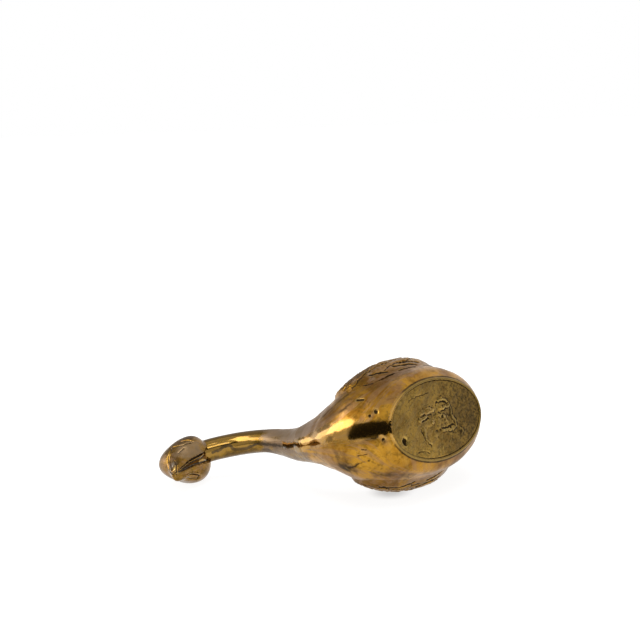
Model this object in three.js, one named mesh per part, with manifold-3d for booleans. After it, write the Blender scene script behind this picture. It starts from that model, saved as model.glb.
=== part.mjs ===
// Brass swan planter: a cast bowl in the shape of a resting swan, with a let-in floor plate,
// two feathered wing castings on its flanks, a neck that leans to its left and a bowed head.
// Millimetres, +Z up. The swan faces -Y and its left is +X. The origin is the centre of the
// flat underside that it stands on.
import * as THREE from "three";
import { mergeVertices } from "three/addons/utils/BufferGeometryUtils.js";
import Module from "manifold-3d";

const wasm = await Module();
wasm.setup();

// Foot: the flat oval that the planter stands on, and the plate let into it
const footHalfLength = 38.2;
const footHalfWidth = 22.4;
const footRingWidth = 1.1;
const plateThickness = 3;
const plateBevel = 0.4;
const plateLedge = 2;
const jointClearance = 0.25;

// Bowl, by height: the foot, the belly, the shoulder, the rim and the throat under the neck
const bowlWall = 3.2;
const bellyHeight = 27;
const bellyHalfWidth = 34;
const breastReach = 56;
const shoulderHeight = 40;
const shoulderHalfWidth = 29;
const rimHeight = 46;
const rimHalfWidth = 25.6;
const rimRiseAtTail = 2.5;
const rimSweep = 22;
const collarHeight = 52;
const collarHalfWidth = 22.3;
const throatHeight = 58;
const throatHalfWidth = 15.6;
const throatForward = 22.9;
const throatBack = 28.4;
const plantingTop = 62;
const tailReach = 64;
const tailHeight = 54;
const tailSolidLength = 13;

// Neck: its seat on the breast, its leaning curve and the end that the head sits on
const neckSeatHeight = 66;
const neckSeatForward = 38.9;
const neckSeatHalfWidth = 10.6;
const neckSeatHalfDepth = 10.1;
const neckRadius = 6.75;
const neckFlareHeight = 37;
const neckBackswing = 4.2;
const neckTopForward = 54.5;
const neckTopHeight = 128.8;
const neckLean = 5.9;
const neckInHead = 7.5;
const spigotRadius = 4.5;
const spigotLength = 9;

// Wings
const wingThickness = 2.6;
const wingEdgeThickness = 0.8;
const wingRearLift = 0.8;
const wingClearance = 0.3;
const wingFront = 40;
const wingLow = 13;
const wingRearRise = 17;
const wingTip = 50;
const wingAboveRim = 1;

// Head, about its own middle, with the bill turned down and a little to the swan's right
const headForward = 70.5;
const headHeight = 136.2;
const headSide = 3;
const headDroop = 31;
const headTurn = 13;
const headHalfWidth = 13.2;
const headCrown = 16;
const headJaw = 14.6;
const headBack = 13;
const billLength = 27;
const billHalfWidth = 4.4;

// A value that follows a smooth curve through [place, value] pairs
function along(pairs) {
  const curve = new THREE.CatmullRomCurve3(
    pairs.map(([place, value]) => new THREE.Vector3(place, value, 0)),
    false,
    "centripetal"
  );
  const samples = curve.getPoints(pairs.length * 24);
  return (place) => {
    const next = samples.findIndex((point) => point.x > place);
    if (next === 0) return samples[0].y;
    if (next < 0) return samples[samples.length - 1].y;
    const before = samples[next - 1];
    const after = samples[next];
    return THREE.MathUtils.mapLinear(place, before.x, after.x, before.y, after.y);
  };
}

const steps = (from, to, count) =>
  Array.from({ length: count + 1 }, (_, i) => from + ((to - from) * i) / count);

const turns = (sides) => steps(0, 2 * Math.PI, sides).slice(0, sides);

// A closed body through rings of equal point counts, with a flat fan over each end
function loft(rings) {
  const count = rings[0].length;
  const points = rings.flat();
  const faces = [];
  for (let ring = 0; ring < rings.length - 1; ring++) {
    for (let i = 0; i < count; i++) {
      const a = ring * count + i;
      const b = ring * count + ((i + 1) % count);
      faces.push(a, b, b + count, a, b + count, a + count);
    }
  }
  for (const ring of [0, rings.length - 1]) {
    const middle = new THREE.Vector3();
    rings[ring].forEach((point) => middle.add(point));
    points.push(middle.divideScalar(count));
    for (let i = 0; i < count; i++) {
      const a = ring * count + i;
      const b = ring * count + ((i + 1) % count);
      faces.push(ring ? a : b, ring ? b : a, points.length - 1);
    }
  }
  const geometry = new THREE.BufferGeometry();
  geometry.setAttribute(
    "position",
    new THREE.Float32BufferAttribute(points.flatMap((point) => point.toArray()), 3)
  );
  geometry.setIndex(faces);
  return geometry;
}

function solid(geometry) {
  const bare = new THREE.BufferGeometry();
  bare.setAttribute("position", geometry.getAttribute("position"));
  bare.setIndex(geometry.getIndex());
  const merged = mergeVertices(bare, 1e-4);
  return new wasm.Manifold(
    new wasm.Mesh({
      numProp: 3,
      vertProperties: merged.getAttribute("position").array,
      triVerts: new Uint32Array(merged.getIndex().array),
    })
  );
}

function geometryOf(body) {
  const mesh = body.getMesh();
  const geometry = new THREE.BufferGeometry();
  geometry.setAttribute("position", new THREE.BufferAttribute(mesh.vertProperties, 3));
  geometry.setIndex(new THREE.BufferAttribute(mesh.triVerts, 1));
  return geometry;
}

// The bowl's outline by height: how far it reaches ahead, behind and to each side of the
// origin, where along it is widest, and how pointed its rear end is
const frontReach = along([
  [0, footHalfLength],
  [bellyHeight * 0.33, breastReach - 8.5],
  [bellyHeight * 0.8, breastReach],
  [bellyHeight + 9, breastReach],
  [rimHeight + 4, breastReach - 3.2],
  [throatHeight, breastReach - 4.4],
  [neckSeatHeight, neckSeatForward + neckSeatHalfDepth],
]);
const rearReach = along([
  [0, footHalfLength],
  [bellyHeight * 0.4, footHalfLength + 10.4],
  [bellyHeight, tailReach - 11.5],
  [shoulderHeight, tailReach - 7],
  [tailHeight, tailReach],
  [neckSeatHeight, neckSeatHalfDepth - neckSeatForward],
]);
const halfWidth = along([
  [0, footHalfWidth],
  [bellyHeight * 0.19, footHalfWidth + 5.4],
  [bellyHeight * 0.5, bellyHalfWidth - 3.3],
  [bellyHeight, bellyHalfWidth],
  [shoulderHeight, shoulderHalfWidth],
  [rimHeight, rimHalfWidth],
  [collarHeight, collarHalfWidth],
  [throatHeight, throatHalfWidth],
  [neckSeatHeight, neckSeatHalfWidth],
]);
const widestPlace = along([
  [0, 0],
  [bellyHeight, -1.5],
  [rimHeight + 4, -1],
  [throatHeight, -throatForward],
  [neckSeatHeight, -neckSeatForward],
]);
const rearPower = along([
  [0, 2],
  [bellyHeight * 0.3, 2.2],
  [bellyHeight, 1.95],
  [tailHeight, 1.4],
]);

// The bowl's extents at a height, drawn in all round by an inset
function outlineAt(height, inset) {
  const middle = widestPlace(height);
  return {
    middle,
    wide: halfWidth(height) - inset,
    ahead: frontReach(height) + middle - inset,
    behind: rearReach(height) - middle - inset,
    power: rearPower(height),
  };
}

// Half width of the bowl's outside at a place along it
function flankAt(place, height) {
  const { middle, wide, ahead, behind, power } = outlineAt(height, 0);
  const share = place < middle ? (middle - place) / ahead : (place - middle) / behind;
  return wide * Math.sqrt(Math.max(0, 1 - share ** (place < middle ? 2 : power)));
}

function bowlRing(height, inset, frontLimit = Infinity, rearLimit = Infinity) {
  const { middle, wide, ahead, behind, power } = outlineAt(height, inset);
  return turns(48).map((angle) => {
    const sine = Math.sin(angle);
    const front = Math.min(ahead, frontLimit + middle);
    const rear = Math.min(behind, rearLimit - middle);
    const reach = sine < 0 ? front * sine : rear * sine ** (2 / power);
    return new THREE.Vector3(wide * Math.cos(angle), middle + reach, height);
  });
}

function oval(halfLength, halfWide, levels) {
  const ring = ([height, inset]) =>
    turns(64).map(
      (angle) =>
        new THREE.Vector3(
          (halfWide - inset) * Math.cos(angle),
          (halfLength - inset) * Math.sin(angle),
          height
        )
    );
  return loft(levels.map(ring));
}

// Everything above the rim line and behind the neck's stub, as a slab across the bowl
function aboveRim() {
  const top = neckSeatHeight + 10;
  const beyond = tailReach + 10;
  const rim = new THREE.SplineCurve([
    new THREE.Vector2(-throatBack, neckSeatHeight + 1),
    new THREE.Vector2(-throatBack + rimSweep * 0.02, throatHeight + 4),
    new THREE.Vector2(-throatBack + rimSweep * 0.12, throatHeight - 2),
    new THREE.Vector2(-throatBack + rimSweep * 0.39, rimHeight + 4.2),
    new THREE.Vector2(-throatBack + rimSweep, rimHeight + 0.5),
    new THREE.Vector2(tailReach * 0.4, rimHeight),
    new THREE.Vector2(tailReach * 0.8, rimHeight + rimRiseAtTail),
    new THREE.Vector2(tailReach, tailHeight - rimRiseAtTail),
    new THREE.Vector2(beyond, tailHeight),
  ]);
  const outline = new THREE.Shape();
  outline.moveTo(-throatBack, top);
  rim.getPoints(30).forEach((point) => outline.lineTo(point.x, point.y));
  outline.lineTo(beyond, top);
  const width = 4 * bellyHalfWidth;
  const slab = new THREE.ExtrudeGeometry(outline, { depth: width, bevelEnabled: false });
  slab.translate(0, 0, -width / 2);
  slab.rotateX(Math.PI / 2);
  slab.rotateZ(Math.PI / 2);
  return slab;
}

// The planting space: it keeps the wall, the ledge over the floor plate, the solid stub under
// the neck and the solid tail
function plantingSpace() {
  const ledgeInset =
    halfWidth(plateThickness) - (footHalfWidth - footRingWidth - plateLedge);
  const inset = along([
    [plateThickness, ledgeInset],
    [plateThickness + 4, bowlWall + 1],
    [plateThickness + 10, bowlWall],
  ]);
  const frontLimit = along([
    [0, breastReach],
    [bellyHeight + 9, breastReach - bowlWall],
    [rimHeight - 4, throatBack + 9],
    [rimHeight + 4, throatBack + 1],
    [throatHeight, throatBack - 4],
    [neckSeatHeight, throatBack - 6],
  ]);
  const rings = steps(plateThickness, plantingTop, 19).map((height) =>
    bowlRing(height, inset(height), frontLimit(height), tailReach - tailSolidLength)
  );
  return loft(rings);
}

function bowlBody() {
  const outside = loft(steps(0, neckSeatHeight, 26).map((height) => bowlRing(height, 0)));
  const plateSpace = oval(footHalfLength - footRingWidth, footHalfWidth - footRingWidth, [
    [-1, 0],
    [plateThickness + jointClearance, 0],
  ]);
  const spigotBore = spigotRadius + jointClearance;
  const spigotSpace = new THREE.CylinderGeometry(spigotBore, spigotBore, spigotLength * 2, 28);
  spigotSpace.rotateX(Math.PI / 2);
  spigotSpace.translate(0, -neckSeatForward, neckSeatHeight - jointClearance);
  return geometryOf(
    solid(outside)
      .subtract(solid(plantingSpace()))
      .subtract(solid(plateSpace))
      .subtract(solid(aboveRim()))
      .subtract(solid(spigotSpace))
  );
}

function basePlate() {
  const inset = footRingWidth + jointClearance;
  return oval(footHalfLength - inset, footHalfWidth - inset, [
    [0, plateBevel],
    [plateBevel, 0],
    [plateThickness, 0],
  ]);
}

// One wing casting: a bowed leaf that follows the flank, thick in its middle and thin all round
function wing(side) {
  const shoulder = new THREE.Vector2(-wingFront + 3, bellyHeight + 8);
  const tip = new THREE.Vector2(wingTip, rimHeight + 1.8);
  const lower = new THREE.SplineCurve([
    shoulder,
    new THREE.Vector2(-wingFront, bellyHeight - 3),
    new THREE.Vector2(-wingFront + 7, wingLow + 4),
    new THREE.Vector2(-wingFront * 0.4, wingLow),
    new THREE.Vector2(wingTip * 0.2, wingLow),
    new THREE.Vector2(wingTip * 0.6, wingLow + wingRearRise * 0.35),
    new THREE.Vector2(wingTip * 0.85, wingLow + wingRearRise),
    tip,
  ]);
  const upper = new THREE.SplineCurve([
    shoulder,
    new THREE.Vector2(-wingFront + 7.5, rimHeight - 2.5),
    new THREE.Vector2(-throatBack + 5, rimHeight + 2.6 + wingAboveRim),
    new THREE.Vector2(-throatBack + 16, rimHeight + 1.2 + wingAboveRim),
    new THREE.Vector2(0, rimHeight + wingAboveRim),
    new THREE.Vector2(wingTip * 0.6, rimHeight + wingAboveRim),
    tip,
  ]);
  const across = steps(0, 1, 9);
  const rings = steps(0.012, 0.988, 34).map((share) => {
    const low = lower.getPoint(share);
    const high = upper.getPoint(share);
    const rise = THREE.MathUtils.smoothstep(share, 0.42, 0.64);
    const fall = 1 - THREE.MathUtils.smoothstep(share, 0.72, 0.86);
    const lift = wingRearLift * rise * fall;
    const inner = [];
    const outer = [];
    for (const step of across) {
      const place = THREE.MathUtils.lerp(low.x, high.x, step);
      const height = THREE.MathUtils.lerp(low.y, high.y, step);
      const seat = flankAt(place, height) + wingClearance;
      const swell = (Math.sin(Math.PI * step) * Math.sin(Math.PI * share)) ** 0.4;
      const thick = THREE.MathUtils.lerp(wingEdgeThickness, wingThickness, swell) + lift;
      inner.push(new THREE.Vector3(side * seat, place, height));
      outer.push(new THREE.Vector3(side * (seat + thick), place, height));
    }
    const ring = [...outer, ...inner.reverse()];
    return side > 0 ? ring.reverse() : ring;
  });
  return loft(rings);
}

// The neck swings back over its seat, leans to the left and arches forward into the head
const neckRise = neckTopHeight - neckSeatHeight;
const neckPath = new THREE.CatmullRomCurve3(
  [
    new THREE.Vector3(0, -neckSeatForward, neckSeatHeight),
    new THREE.Vector3(
      0,
      -neckSeatForward + neckBackswing * 0.35,
      neckSeatHeight + neckRise * 0.11
    ),
    new THREE.Vector3(
      neckLean * 0.3,
      -neckSeatForward + neckBackswing * 0.95,
      neckSeatHeight + neckRise * 0.32
    ),
    new THREE.Vector3(
      neckLean * 0.78,
      -neckSeatForward + neckBackswing * 0.8,
      neckSeatHeight + neckRise * 0.57
    ),
    new THREE.Vector3(
      neckLean,
      (-neckSeatForward + neckBackswing * 0.8) * 0.37 - neckTopForward * 0.53,
      neckSeatHeight + neckRise * 0.81
    ),
    new THREE.Vector3(neckLean, -neckTopForward, neckTopHeight),
    new THREE.Vector3(
      neckLean - 0.1 * neckInHead,
      -neckTopForward - 0.8 * neckInHead,
      neckTopHeight + 0.6 * neckInHead
    ),
  ],
  false,
  "centripetal"
);

// Rings square to the neck's path, level at the seat
function neckRings(grow, from, to, count) {
  const wide = along([
    [neckSeatHeight, neckSeatHalfWidth],
    [neckSeatHeight + neckFlareHeight * 0.18, neckSeatHalfWidth - 0.9],
    [neckSeatHeight + neckFlareHeight * 0.35, neckRadius + 2.2],
    [neckSeatHeight + neckFlareHeight * 0.6, neckRadius + 1.1],
    [neckSeatHeight + neckFlareHeight * 0.84, neckRadius + 0.3],
    [neckSeatHeight + neckFlareHeight, neckRadius],
  ]);
  const deepen = (neckSeatHalfDepth - neckRadius) / (neckSeatHalfWidth - neckRadius);
  return steps(from, to, count).map((share) => {
    const middle = neckPath.getPointAt(share);
    const climb = neckPath.getTangentAt(share);
    const level = new THREE.Vector3(0, 0, 1);
    const settle = THREE.MathUtils.smoothstep(share, 0, 0.15);
    const axis = level.lerp(climb, settle).normalize();
    const sideways = new THREE.Vector3(1, 0, 0).projectOnPlane(axis).normalize();
    const back = new THREE.Vector3().crossVectors(axis, sideways);
    const width = wide(middle.z) + grow;
    const depth = neckRadius + (wide(middle.z) - neckRadius) * deepen + grow;
    return turns(28).map((angle) =>
      middle
        .clone()
        .addScaledVector(sideways, width * Math.cos(angle))
        .addScaledVector(back, depth * Math.sin(angle))
    );
  });
}

function neck() {
  const shaft = loft(neckRings(0, 0, 1, 30));
  const spigot = new THREE.CylinderGeometry(spigotRadius, spigotRadius, spigotLength * 2, 28);
  spigot.rotateX(Math.PI / 2);
  spigot.translate(0, -neckSeatForward, neckSeatHeight);
  return geometryOf(solid(shaft).add(solid(spigot)));
}

// The head's rings run from its back to the bill's tip, in its own frame with the bill ahead
function headForm() {
  const wide = along([
    [-headBack, 1.5],
    [-headBack + 1.2, headHalfWidth * 0.5],
    [-headBack * 0.6, headHalfWidth - 1.8],
    [0, headHalfWidth],
    [billLength * 0.25, headHalfWidth - 1.2],
    [billLength * 0.5, billHalfWidth + 4],
    [billLength * 0.7, billHalfWidth + 1.2],
    [billLength * 0.88, billHalfWidth],
    [billLength * 0.97, billHalfWidth - 1.6],
    [billLength, 0.8],
  ]);
  const above = along([
    [-headBack, 1.5],
    [-headBack + 1.2, headCrown * 0.5],
    [-headBack * 0.6, headCrown - 2.6],
    [-headBack * 0.1, headCrown],
    [billLength * 0.17, headCrown - 1],
    [billLength * 0.38, headCrown * 0.68],
    [billLength * 0.56, headCrown * 0.38],
    [billLength * 0.8, headCrown * 0.22],
    [billLength, 0.6],
  ]);
  const below = along([
    [-headBack, 1.5],
    [-headBack + 1.2, headJaw * 0.5],
    [-headBack * 0.6, headJaw - 2.2],
    [0, headJaw],
    [billLength * 0.3, headJaw - 1.8],
    [billLength * 0.55, headJaw * 0.6],
    [billLength * 0.85, headJaw * 0.34],
    [billLength, 1.6],
  ]);
  const crownNarrowing = 0.28;
  const places = steps(0, 1, 22).map((share) =>
    THREE.MathUtils.lerp(-headBack, billLength, 0.5 - 0.5 * Math.cos(Math.PI * share))
  );
  const rings = places.map((place) =>
    turns(36).map((angle) => {
      const rise = Math.sin(angle);
      return new THREE.Vector3(
        wide(place) * Math.cos(angle) * (1 - crownNarrowing * rise),
        -place,
        rise * (rise > 0 ? above(place) : below(place))
      );
    })
  );
  const form = loft(rings);
  form.rotateZ(THREE.MathUtils.degToRad(-headTurn));
  form.rotateX(THREE.MathUtils.degToRad(headDroop));
  form.translate(headSide, -headForward, headHeight);
  return form;
}

function head() {
  const socket = loft(neckRings(jointClearance, 0.7, 1, 10));
  return geometryOf(solid(headForm()).subtract(solid(socket)));
}

const brass = (color, roughness) =>
  new THREE.MeshStandardMaterial({ color, roughness, metalness: 1 });
const castBrass = brass(0xa8762c, 0.35);
const filedBrass = brass(0x7d6a35, 0.55);
const carvedBrass = brass(0x9a6a38, 0.42);
const polishedBrass = brass(0x9a7a2c, 0.25);

function node(name, geometry, finish) {
  const mesh = new THREE.Mesh(geometry, finish);
  mesh.name = name;
  return mesh;
}

const swan = new THREE.Group();
swan.add(node("bowl_body", bowlBody(), castBrass));
swan.add(node("base_plate", basePlate(), filedBrass));
swan.add(node("left_wing", wing(1), carvedBrass));
swan.add(node("right_wing", wing(-1), carvedBrass));
swan.add(node("neck", neck(), polishedBrass));
swan.add(node("head", head(), carvedBrass));

export default swan;
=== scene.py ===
import math

import bpy
import numpy as np
from mathutils import Matrix, Vector


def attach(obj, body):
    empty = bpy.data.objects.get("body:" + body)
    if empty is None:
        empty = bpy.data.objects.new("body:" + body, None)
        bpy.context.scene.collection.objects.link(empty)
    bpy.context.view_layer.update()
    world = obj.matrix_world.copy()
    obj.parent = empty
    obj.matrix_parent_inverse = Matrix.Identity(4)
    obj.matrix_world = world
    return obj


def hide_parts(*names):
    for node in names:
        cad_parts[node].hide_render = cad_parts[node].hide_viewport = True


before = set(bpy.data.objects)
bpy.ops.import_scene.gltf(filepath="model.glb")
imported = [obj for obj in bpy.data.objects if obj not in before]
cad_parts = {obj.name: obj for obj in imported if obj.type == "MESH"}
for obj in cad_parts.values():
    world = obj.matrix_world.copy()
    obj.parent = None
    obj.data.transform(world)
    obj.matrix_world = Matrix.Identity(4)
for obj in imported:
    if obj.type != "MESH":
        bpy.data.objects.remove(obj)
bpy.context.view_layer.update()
print("frame loaded")
metre = 0.001  # a millimetre, in metres

# Lengths are in millimetres until a piece is finished, and in metres after that.
# The swan faces -Y, its left is +X, and it stands on the XY plane. In the picture it lies on
# its right side, so the floor of the scene is nearly the YZ plane.


# Curves and noise
tiny = 1e-6
lattice = np.array([374761393, 668265263, 2147483647])  # scrambles the cells of the noise
seedStep, scramble, lowBits = 974711, 1274126177, 0xFFFF


def curveThrough(points, each=60, even=False):
    # samples of a smooth curve through points; even keeps the same time for every span
    points = np.array(points, float)
    first = points[0] if even else 2 * points[0] - points[1]
    last = points[-1] if even else 2 * points[-1] - points[-2]
    line = [first, *points, last]
    found = []
    for a, b, c, d in zip(line, line[1:], line[2:], line[3:]):
        before, here, after = [
            1.0 if even else max(np.linalg.norm(q - p), tiny) ** 0.5
            for p, q in ((a, b), (b, c), (c, d))
        ]
        leave = ((b - a) / before - (c - a) / (before + here) + (c - b) / here) * here
        arrive = ((c - b) / here - (d - b) / (here + after) + (d - c) / after) * here
        t = np.linspace(0, 1, each, endpoint=False)[:, None]
        found.append(
            b + leave * t + (3 * (c - b) - 2 * leave - arrive) * t**2
            + (2 * (b - c) + leave + arrive) * t**3
        )
    return np.vstack([*found, points[-1:]])


def along(pairs):
    line = curveThrough(pairs)
    return lambda place: np.interp(place, line[:, 0], line[:, 1])


def pointAt(line, share):
    steps = np.linspace(0, 1, len(line))
    return np.stack([np.interp(share, steps, line[:, k]) for k in range(line.shape[1])], -1)


def drawn(line):
    # a smooth line through three places or more, and a straight one through two
    if len(line) > 2:
        return curveThrough(line, 8)
    return pointAt(np.array(line), np.linspace(0, 1, 12))


def turns(sides):
    return np.linspace(0, 2 * np.pi, sides, endpoint=False)


def smoothStep(low, high, value):
    t = np.clip((value - low) / (high - low), 0, 1)
    return t * t * (3 - 2 * t)


def blend(share, low, high):
    return low + (high - low) * share


def cloud(points, size, seed):
    # smooth noise from -1 to 1, with features of about size
    q = points / size + seed * 3.7
    cell = np.floor(q).astype(np.int64)
    f = q - cell
    f = f * f * (3 - 2 * f)
    base = cell @ lattice + seed * seedStep
    total = np.zeros(len(points))
    for corner in np.ndindex(2, 2, 2):
        h = base + np.dot(corner, lattice)
        h = (h ^ (h >> 13)) * scramble
        h = (h ^ (h >> 16)) & lowBits
        x, y, z = (f[:, k] if corner[k] else 1 - f[:, k] for k in range(3))
        total += x * y * z * h / lowBits
    return 2 * total - 1


def clouds(points, size, seed, layers=3):
    return sum(cloud(points, size / 2**n, seed + n) / 2**n for n in range(layers))


def nearLine(points, line):
    # distance from each point to a line of points, and the share of the line it is nearest to
    line = np.array(line, float)
    best = np.full(len(points), np.inf)
    where = np.zeros(len(points))
    lengths = np.linalg.norm(np.diff(line, axis=0), axis=1)
    run = np.concatenate([[0], np.cumsum(lengths)]) / max(lengths.sum(), tiny)
    for n in range(len(line) - 1):
        step = line[n + 1] - line[n]
        t = np.clip(((points - line[n]) @ step) / max(step @ step, tiny), 0, 1)
        away = np.linalg.norm(points - line[n] - t[:, None] * step, axis=1)
        closer = away < best
        best[closer] = away[closer]
        where[closer] = (run[n] + t * (run[n + 1] - run[n]))[closer]
    return best, where


def onto(points, line):
    # a line drawn through places near a surface, laid on the surface itself
    apart = 0.2
    laid = [points[np.argmin(((points - spot) ** 2).sum(1))] for spot in drawn(line)]
    kept = [laid[0]]
    for spot in laid[1:]:
        if np.linalg.norm(spot - kept[-1]) > apart:
            kept.append(spot)
    return np.array(kept if len(kept) > 1 else [kept[0], kept[0] + apart / 2])


def endsOf(share, taper):
    # 1 along a line, fading to 0 at both its ends
    return smoothStep(0, taper, share) * smoothStep(0, taper, 1 - share)


def stroke(points, line, width, depth, taper):
    # a carved line: how deep it goes at each point, shallow at its ends
    away, share = nearLine(points, onto(points, line))
    return depth * endsOf(share, taper) * np.exp(-((away / width) ** 2))


def strokes(points, lines, taper=0.15):
    return sum(stroke(points, *line, taper) for line in lines)


def dents(points, places):
    # round hollows with flat floors: middle, width, depth
    found = np.zeros(len(points))
    for middle, width, depth in places:
        away = np.linalg.norm(points - np.array(middle, float), axis=1)
        found += depth * np.exp(-((away / width) ** 4))
    return found


# Meshes
def added(name, data):
    thing = bpy.data.objects.new(name, data)
    bpy.context.scene.collection.objects.link(thing)
    return thing


def newPiece(name, points, faces):
    mesh = bpy.data.meshes.new(name)
    mesh.from_pydata(np.asarray(points).tolist(), [], faces)
    return added(name, mesh)


def loft(name, rings):
    # a closed body through rings of equal counts, with a fan over each end
    rings = np.array(rings)
    count, sides = rings.shape[:2]
    ring, i = np.meshgrid(np.arange(count - 1), np.arange(sides), indexing="ij")
    a, b = ring * sides + i, ring * sides + (i + 1) % sides
    quads = np.stack([a, b, b + sides, a + sides], -1).reshape(-1, 4).tolist()
    points = np.vstack([rings.reshape(-1, 3), rings[0].mean(0), rings[-1].mean(0)])
    low, high, top = len(points) - 2, len(points) - 1, (count - 1) * sides
    for k in range(sides):
        after = (k + 1) % sides
        quads += [[after, k, low], [top + k, top + after, high]]
    return newPiece(name, points, quads)


def settle(piece):
    graph = bpy.context.evaluated_depsgraph_get()
    mesh = bpy.data.meshes.new_from_object(piece.evaluated_get(graph))
    piece.modifiers.clear()
    piece.data = mesh


def remake(piece, voxel, rounds):
    # even quads all over, with edges as soft as a casting's
    step = piece.modifiers.new("even", "REMESH")
    step.mode, step.voxel_size = "VOXEL", voxel
    soft = piece.modifiers.new("soft", "SMOOTH")
    soft.factor, soft.iterations = 0.5, rounds
    settle(piece)


def cut(piece, *tools):
    for tool in tools:
        step = piece.modifiers.new("cut", "BOOLEAN")
        step.operation, step.solver, step.object = "DIFFERENCE", "MANIFOLD", tool
    settle(piece)
    for tool in tools:
        bpy.data.objects.remove(tool)


def vectorsIn(items, kind):
    found = np.zeros(len(items) * 3, np.float32)
    items.foreach_get(kind, found)
    return found.reshape(-1, 3).astype(float)


def surfaceOf(piece):
    # its points, and the way the surface faces at each
    return vectorsIn(piece.data.vertices, "co"), vectorsIn(piece.data.vertex_normals, "vector")


def setPoints(piece, points):
    piece.data.vertices.foreach_set("co", points.astype(np.float32).ravel())
    piece.data.update()


def averaged(piece, values, rounds, pull=0.6):
    # values drawn towards their neighbours' mean, several times over
    edges = np.zeros(len(piece.data.edges) * 2, np.int32)
    piece.data.edges.foreach_get("vertices", edges)
    a, b = edges.reshape(-1, 2).T
    size = len(values)
    count = np.bincount(a, minlength=size) + np.bincount(b, minlength=size)
    values = np.array(values, float)
    for _ in range(rounds):
        total = np.stack(
            [
                np.bincount(a, values[b, k], size) + np.bincount(b, values[a, k], size)
                for k in range(values.shape[1])
            ],
            -1,
        )
        values = (1 - pull) * values + pull * total / np.maximum(count, 1)[:, None]
    return values


def mark(piece, name, values):
    layer = piece.data.attributes.new(name, "FLOAT", "POINT")
    layer.data.foreach_set("value", np.clip(values, 0, 1).astype(np.float32))


def finishPiece(piece, node, finish, marks, reach=12, strength=0.11):
    # marks where the surface is hollow or proud, turns it to metres and hands it to the frame
    points, normals = surfaceOf(piece)
    depth = ((averaged(piece, points, reach) - points) * normals).sum(1)
    mark(piece, "hollow", depth / strength)
    mark(piece, "proud", -depth / strength)
    for name in ("polish", "film", "dirt", "filed"):
        mark(piece, name, marks.get(name, np.zeros(len(points))))
    # places stretched along the way the streaks run
    layer = piece.data.attributes.new("flow", "FLOAT_VECTOR", "POINT")
    layer.data.foreach_set("vector", (marks["flow"] * metre).astype(np.float32).ravel())
    piece.data.transform(Matrix.Scale(metre, 4))
    for polygon in piece.data.polygons:
        polygon.use_smooth = True
    piece.data.materials.clear()
    piece.data.materials.append(finish)
    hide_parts(node)
    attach(piece, "root")
    print(piece.name, len(piece.data.polygons), "faces")


# depth and size of the skin's waves, how much rubbing takes away, how low the skin lies
skin = {"waves": (0.17, 14), "ripples": (0.07, 4), "rubbedAway": 0.75, "low": 0.06}


def unevenness(points, rubbed):
    # how far the casting's skin lies under its drawn shape; the bowl and neck share it
    (waves, wide), (ripples, narrow) = skin["waves"], skin["ripples"]
    wavy = waves * clouds(points, wide, 3) + ripples * clouds(points, narrow, 8)
    return wavy * (1 - skin["rubbedAway"] * rubbed) + skin["low"]


# Finishes
def tone(red, green, blue):
    # a colour as a picture shows it, 0 to 255, in the light values that nodes use
    light = [
        c / 12.92 if c <= 0.04045 else ((c + 0.055) / 1.055) ** 2.4
        for c in (red / 255, green / 255, blue / 255)
    ]
    return (*light, 1.0)


class Wire:
    # a node's output; sums and products of wires add their Math nodes
    def __init__(self, tree, socket=None):
        self.tree, self.socket = tree, socket

    def make(self, kind, settings=None, inputs=None, output=0):
        node = self.tree.nodes.new(kind)
        for name, value in (settings or {}).items():
            setattr(node, name, value)
        for name, value in (inputs or {}).items():
            if isinstance(value, Wire):
                self.tree.links.new(value.socket, node.inputs[name])
            else:
                node.inputs[name].default_value = value
        return Wire(self.tree, node.outputs[output] if node.outputs else None)

    def math(self, operation, *values):
        return self.make("ShaderNodeMath", {"operation": operation}, dict(enumerate(values)))

    def __add__(self, other):
        return self.math("ADD", self, other)

    def __radd__(self, other):
        return self.math("ADD", other, self)

    def __sub__(self, other):
        return self.math("SUBTRACT", self, other)

    def __rsub__(self, other):
        return self.math("SUBTRACT", other, self)

    def __mul__(self, other):
        return self.math("MULTIPLY", self, other)

    def __rmul__(self, other):
        return self.math("MULTIPLY", other, self)

    def band(self, low, high):
        # 0 below low and 1 above high, with soft shoulders
        return self.make(
            "ShaderNodeMapRange",
            {"interpolation_type": "SMOOTHSTEP"},
            {"Value": self, "From Min": low, "From Max": high},
        )

    def over(self, colour, paint):
        # paint laid over colour where this mask is 1
        return self.make(
            "ShaderNodeMix", {"data_type": "RGBA"}, {0: self, 6: colour, 7: paint}, 2
        )

    def noise(self, size, detail=4.0, roughness=0.55, distortion=0.0):
        return self.make(
            "ShaderNodeTexNoise",
            None,
            {
                "Vector": self,
                "Scale": 1000 / size,
                "Detail": detail,
                "Roughness": roughness,
                "Distortion": distortion,
            },
        )


def emptied(holder):
    # the node tree of a new material or world, with nothing in it
    holder.use_nodes = True
    holder.node_tree.nodes.clear()
    return Wire(holder.node_tree)


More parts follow.
